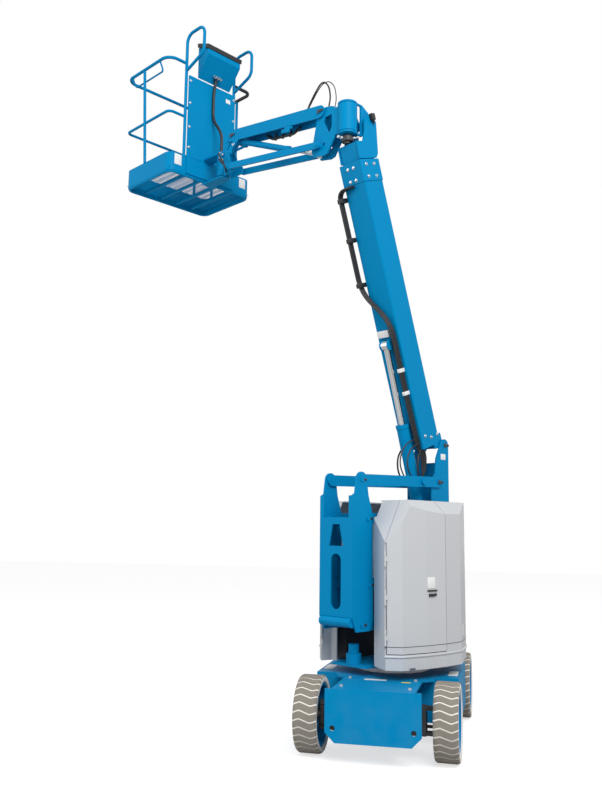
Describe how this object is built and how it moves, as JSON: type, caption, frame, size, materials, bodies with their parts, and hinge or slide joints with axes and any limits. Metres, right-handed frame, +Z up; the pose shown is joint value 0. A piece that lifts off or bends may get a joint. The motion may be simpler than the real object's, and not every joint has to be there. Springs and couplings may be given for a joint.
{
  "type": "articulating boom lift",
  "caption": "Self-propelled lift with a parallelogram riser, a telescopic boom and a swinging jib that carry a railed work platform.",
  "frame": {"origin": "on the ground, under the middle of the whole machine in its stored pose", "axes": "+Z up; the chassis drives towards -Y, with its left side towards +X"},
  "size_m": [3.4679, 2.5106, 6.6866],
  "materials": {
    "dark_steel": "satin black paint",
    "blue_paint": "gloss paint",
    "cover_grey": "moulded, lightly grained",
    "tyre_rubber": "matt, non-marking",
    "rim_paint": "satin paint",
    "machined_steel": "machined",
    "chromed_rod": "polished",
    "black_plastic": "moulded",
    "black_rubber": "matt"
  },
  "bodies": {
    "chassis": {"chassis_frame": "blue_paint", "front_axle": "dark_steel", "rear_axle": "dark_steel", "slew_ring": "machined_steel"},
    "knuckle_left": {"knuckle_left": "dark_steel"},
    "knuckle_right": {"knuckle_right": "dark_steel"},
    "tie_rod": {"tie_rod": "dark_steel"},
    "wheel_front_left": {"tyre_front_left": "tyre_rubber", "rim_front_left": "rim_paint"},
    "wheel_front_right": {"tyre_front_right": "tyre_rubber", "rim_front_right": "rim_paint"},
    "wheel_rear_left": {"tyre_rear_left": "tyre_rubber", "rim_rear_left": "rim_paint"},
    "wheel_rear_right": {"tyre_rear_right": "tyre_rubber", "rim_rear_right": "rim_paint"},
    "turntable": {"turntable_frame": "blue_paint", "counterweight": "dark_steel", "battery_pack": "black_plastic", "power_unit": "dark_steel", "swing_drive": "blue_paint", "left_cover": "cover_grey", "right_cover": "cover_grey"},
    "left_door": {"left_door": "cover_grey"},
    "right_door": {"right_door": "cover_grey"},
    "lower_arm": {"lower_arm": "blue_paint"},
    "lower_link": {"lower_link": "blue_paint"},
    "mid_riser": {"mid_riser": "blue_paint"},
    "upper_arm": {"upper_arm": "blue_paint"},
    "upper_link": {"upper_link": "blue_paint"},
    "upright": {"upright": "blue_paint"},
    "riser_barrel": {"riser_barrel": "blue_paint"},
    "riser_rod": {"riser_rod": "chromed_rod"},
    "boom_outer": {"boom_outer": "blue_paint", "boom_hoses": "black_rubber"},
    "boom_inner": {"boom_inner": "blue_paint"},
    "lift_barrel": {"lift_barrel": "blue_paint"},
    "lift_rod": {"lift_rod": "chromed_rod"},
    "level_bracket": {"level_bracket": "blue_paint"},
    "jib_base": {"jib_base": "blue_paint"},
    "jib_arm": {"jib_arm": "blue_paint", "jib_hose": "black_rubber"},
    "jib_links": {"jib_links": "blue_paint"},
    "jib_barrel": {"jib_barrel": "blue_paint"},
    "jib_rod": {"jib_rod": "chromed_rod"},
    "platform_support": {"platform_support": "blue_paint"},
    "platform": {"platform_mount": "blue_paint", "platform_deck": "blue_paint", "control_box": "blue_paint", "platform_grating": "blue_paint", "deck_ring": "blue_paint", "rail_pad": "black_rubber", "top_rail": "blue_paint", "mid_rail_left": "blue_paint", "mid_rail_right": "blue_paint", "platform_posts": "blue_paint", "hoop_left": "blue_paint", "hoop_right": "blue_paint", "control_lid": "black_plastic", "control_cable": "black_rubber"},
    "entry_rail": {"entry_rail": "blue_paint"}
  },
  "joints": [
    {"name": "steering_left", "type": "hinge", "parent": "chassis", "child": "knuckle_left", "pos_m": [1.56396, -0.94634, 0.28], "axis": [0, 0, 1], "range_deg": [-35, 35]},
    {"name": "steering_right", "type": "hinge", "parent": "chassis", "child": "knuckle_right", "pos_m": [0.71396, -0.94634, 0.28], "axis": [0, 0, 1], "range_deg": [-35, 35]},
    {"name": "tie_rod_pivot", "type": "hinge", "parent": "knuckle_left", "child": "tie_rod", "pos_m": [1.56396, -0.82634, 0.214], "axis": [0, 0, 1], "range_deg": [-35, 35]},
    {"name": "front_left_spin", "type": "hinge", "parent": "knuckle_left", "child": "wheel_front_left", "pos_m": [1.64396, -0.94634, 0.28], "axis": [-1, 0, 0], "continuous": true},
    {"name": "front_right_spin", "type": "hinge", "parent": "knuckle_right", "child": "wheel_front_right", "pos_m": [0.63396, -0.94634, 0.28], "axis": [-1, 0, 0], "continuous": true},
    {"name": "rear_left_spin", "type": "hinge", "parent": "chassis", "child": "wheel_rear_left", "pos_m": [1.64396, 0.65366, 0.28], "axis": [-1, 0, 0], "continuous": true},
    {"name": "rear_right_spin", "type": "hinge", "parent": "chassis", "child": "wheel_rear_right", "pos_m": [0.63396, 0.65366, 0.28], "axis": [-1, 0, 0], "continuous": true},
    {"name": "turntable_swing", "type": "hinge", "parent": "chassis", "child": "turntable", "pos_m": [1.13896, -0.14634, 0.58], "axis": [0, 0, 1], "range_deg": [-179.5, 179.5]},
    {"name": "left_door_hinge", "type": "hinge", "parent": "turntable", "child": "left_door", "pos_m": [1.17435, -0.85413, 1.1], "axis": [0, 0, -1], "range_deg": [0, 105]},
    {"name": "right_door_hinge", "type": "hinge", "parent": "turntable", "child": "right_door", "pos_m": [0.60308, -0.50406, 1.1], "axis": [0, 0, 1], "range_deg": [0, 105]},
    {"name": "riser_lift", "type": "hinge", "parent": "turntable", "child": "lower_arm", "pos_m": [1.37408, 0.23735, 0.887], "axis": [-0.8526, 0.5225, 0], "range_deg": [-12, 48.5]},
    {"name": "lower_link_pivot", "type": "hinge", "parent": "turntable", "child": "lower_link", "pos_m": [1.42111, 0.31409, 1.187], "axis": [-0.8526, 0.5225, 0], "range_deg": [-12, 48.5]},
    {"name": "mid_riser_pivot", "type": "hinge", "parent": "lower_arm", "child": "mid_riser", "pos_m": [0.82565, -0.65762, 0.91449], "axis": [-0.8526, 0.5225, 0], "range_deg": [-48.5, 12]},
    {"name": "upper_arm_pivot", "type": "hinge", "parent": "mid_riser", "child": "upper_arm", "pos_m": [0.82565, -0.65762, 2.04449], "axis": [-0.8526, 0.5225, 0], "range_deg": [-48.5, 12]},
    {"name": "upper_link_pivot", "type": "hinge", "parent": "mid_riser", "child": "upper_link", "pos_m": [0.86431, -0.59452, 1.73849], "axis": [-0.8526, 0.5225, 0], "range_deg": [-48.5, 12]},
    {"name": "upright_pivot", "type": "hinge", "parent": "upper_arm", "child": "upright", "pos_m": [1.37408, 0.23735, 2.07197], "axis": [-0.8526, 0.5225, 0], "range_deg": [-12, 48.5]},
    {"name": "riser_barrel_pivot", "type": "hinge", "parent": "lower_arm", "child": "riser_barrel", "pos_m": [0.93409, -0.48065, 1.00909], "axis": [-0.8526, 0.5225, 0], "range_deg": [-48.5, 12]},
    {"name": "riser_rod_slide", "type": "slide", "parent": "riser_barrel", "child": "riser_rod", "axis": [0.0148, 0.0241, 0.9996], "range_m": [-0.0789, 0.3127]},
    {"name": "primary_lift", "type": "hinge", "parent": "upright", "child": "boom_outer", "pos_m": [1.43678, 0.33966, 2.40997], "axis": [-0.8526, 0.5225, 0], "range_deg": [-70.5, 2]},
    {"name": "lift_barrel_pivot", "type": "hinge", "parent": "upright", "child": "lift_barrel", "pos_m": [1.33333, 0.17084, 1.80197], "axis": [-0.8526, 0.5225, 0], "range_deg": [-53.84, 1.62]},
    {"name": "lift_rod_slide", "type": "slide", "parent": "lift_barrel", "child": "lift_rod", "axis": [-0.1559, -0.2544, 0.9545], "range_m": [-0.6624, 0.0207]},
    {"name": "primary_extend", "type": "slide", "parent": "boom_outer", "child": "boom_inner", "axis": [-0.1736, -0.2832, 0.9432], "range_m": [0, 1.2]},
    {"name": "platform_level", "type": "hinge", "parent": "boom_inner", "child": "level_bracket", "pos_m": [0.93517, -0.47889, 5.17826], "axis": [-0.8526, 0.5225, 0], "range_deg": [-2, 70.5]},
    {"name": "jib_swing", "type": "hinge", "parent": "level_bracket", "child": "jib_base", "pos_m": [0.82806, -0.65368, 5.17826], "axis": [0, 0, 1], "range_deg": [0, 180]},
    {"name": "jib_lift", "type": "hinge", "parent": "jib_base", "child": "jib_arm", "pos_m": [0.59784, -0.51261, 5.30026], "axis": [0.5225, 0.8526, 0], "range_deg": [-72.5, 66.5]},
    {"name": "jib_links_pivot", "type": "hinge", "parent": "jib_base", "child": "jib_links", "pos_m": [0.59358, -0.51, 4.97826], "axis": [0.5225, 0.8526, 0], "range_deg": [-72.5, 66.5]},
    {"name": "platform_support_pivot", "type": "hinge", "parent": "jib_arm", "child": "platform_support", "pos_m": [-0.43095, 0.11784, 5.48059], "axis": [0.5225, 0.8526, 0], "range_deg": [-66.5, 72.5]},
    {"name": "jib_barrel_pivot", "type": "hinge", "parent": "jib_arm", "child": "jib_barrel", "pos_m": [-0.37759, 0.08514, 5.42574], "axis": [0.5225, 0.8526, 0], "range_deg": [-3.17, 3]},
    {"name": "jib_rod_slide", "type": "slide", "parent": "jib_barrel", "child": "jib_rod", "axis": [0.7778, -0.4766, -0.4098], "range_m": [-0.3411, 0.3131]},
    {"name": "platform_rotate", "type": "hinge", "parent": "platform_support", "child": "platform", "pos_m": [-0.60148, 0.22234, 5.15059], "axis": [0, 0, 1], "range_deg": [-90, 90]},
    {"name": "entry_rail_lift", "type": "slide", "parent": "platform", "child": "entry_rail", "axis": [0, 0, 1], "range_m": [0, 0.42]}
  ],
  "couplings": [
    {"joint": "steering_right", "follows": "steering_left", "ratio": 1},
    {"joint": "tie_rod_pivot", "follows": "steering_left", "ratio": -1},
    {"joint": "lower_link_pivot", "follows": "riser_lift", "ratio": 1},
    {"joint": "mid_riser_pivot", "follows": "riser_lift", "ratio": -1},
    {"joint": "upper_arm_pivot", "follows": "riser_lift", "ratio": -1},
    {"joint": "upper_link_pivot", "follows": "riser_lift", "ratio": -1},
    {"joint": "upright_pivot", "follows": "riser_lift", "ratio": 1},
    {"joint": "riser_barrel_pivot", "follows": "riser_lift", "ratio": -1},
    {"joint": "riser_rod_slide", "follows": "riser_lift", "m_per_rad": 0.367},
    {"joint": "lift_barrel_pivot", "follows": "primary_lift", "ratio": 0.7623},
    {"joint": "lift_rod_slide", "follows": "primary_lift", "m_per_rad": 0.5367},
    {"joint": "platform_level", "follows": "primary_lift", "ratio": -1},
    {"joint": "jib_links_pivot", "follows": "jib_lift", "ratio": 1},
    {"joint": "platform_support_pivot", "follows": "jib_lift", "ratio": -1},
    {"joint": "jib_barrel_pivot", "follows": "jib_lift", "ratio": 0.03},
    {"joint": "jib_rod_slide", "follows": "jib_lift", "m_per_rad": 0.268}
  ]
}
